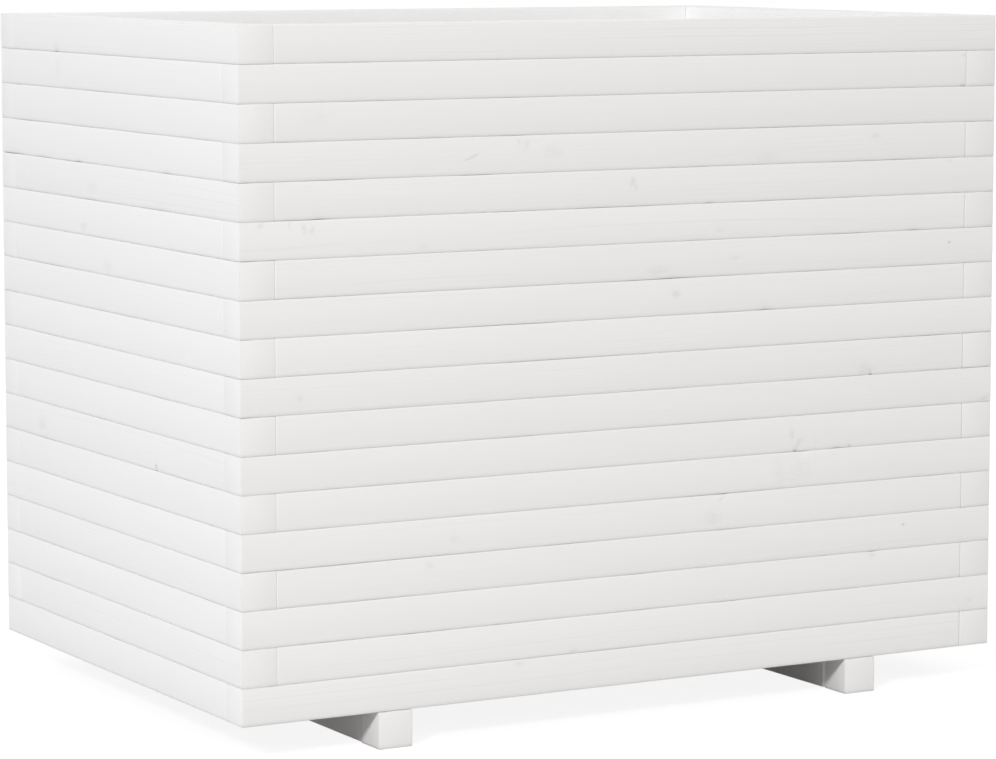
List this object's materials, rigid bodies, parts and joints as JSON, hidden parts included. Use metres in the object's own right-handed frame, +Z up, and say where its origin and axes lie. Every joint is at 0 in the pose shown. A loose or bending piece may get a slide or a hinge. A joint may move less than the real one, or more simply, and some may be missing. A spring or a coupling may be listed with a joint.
{
  "type": "batten planter box",
  "caption": "Rectangular floor planter of white-painted square battens stacked log-cabin fashion on two runner feet, open at the top.",
  "frame": {"origin": "on the ground under the middle of the box", "axes": "+X along the front (the long side), +Y from the front wall to the back wall, +Z up"},
  "size_m": [0.9, 0.6, 0.7217],
  "materials": {
    "painted_pine": "matt white paint over planed pine, grain and knots faintly visible",
    "floor_pine": "one thin coat of white over planed pine"
  },
  "bodies": {
    "root": {"front_battens_01_02": "painted_pine", "front_battens_03_04": "painted_pine", "front_battens_05_06": "painted_pine", "front_battens_07_08": "painted_pine", "front_battens_09_10": "painted_pine", "front_battens_11_12": "painted_pine", "front_battens_13_14": "painted_pine", "front_battens_15_16": "painted_pine", "front_battens_17_18": "painted_pine", "right_battens_01_02": "painted_pine", "right_battens_03_04": "painted_pine", "right_battens_05_06": "painted_pine", "right_battens_07_08": "painted_pine", "right_battens_09_10": "painted_pine", "right_battens_11_12": "painted_pine", "right_battens_13_14": "painted_pine", "right_battens_15_16": "painted_pine", "right_battens_17_18": "painted_pine", "back_battens_01_02": "painted_pine", "back_battens_03_04": "painted_pine", "back_battens_05_06": "painted_pine", "back_battens_07_08": "painted_pine", "back_battens_09_10": "painted_pine", "back_battens_11_12": "painted_pine", "back_battens_13_14": "painted_pine", "back_battens_15_16": "painted_pine", "back_battens_17_18": "painted_pine", "left_battens_01_02": "painted_pine", "left_battens_03_04": "painted_pine", "left_battens_05_06": "painted_pine", "left_battens_07_08": "painted_pine", "left_battens_09_10": "painted_pine", "left_battens_11_12": "painted_pine", "left_battens_13_14": "painted_pine", "left_battens_15_16": "painted_pine", "left_battens_17_18": "painted_pine", "left_front_foot_block": "painted_pine", "left_foot_rail": "painted_pine", "left_back_foot_block": "painted_pine", "right_front_foot_block": "painted_pine", "right_foot_rail": "painted_pine", "right_back_foot_block": "painted_pine", "floor_slat_1": "floor_pine", "floor_slat_2": "floor_pine", "floor_slat_3": "floor_pine", "floor_slat_4": "floor_pine", "floor_slat_5": "floor_pine", "front_left_corner_post": "floor_pine", "front_right_corner_post": "floor_pine", "back_left_corner_post": "floor_pine", "back_right_corner_post": "floor_pine"}
  },
  "joints": []
}
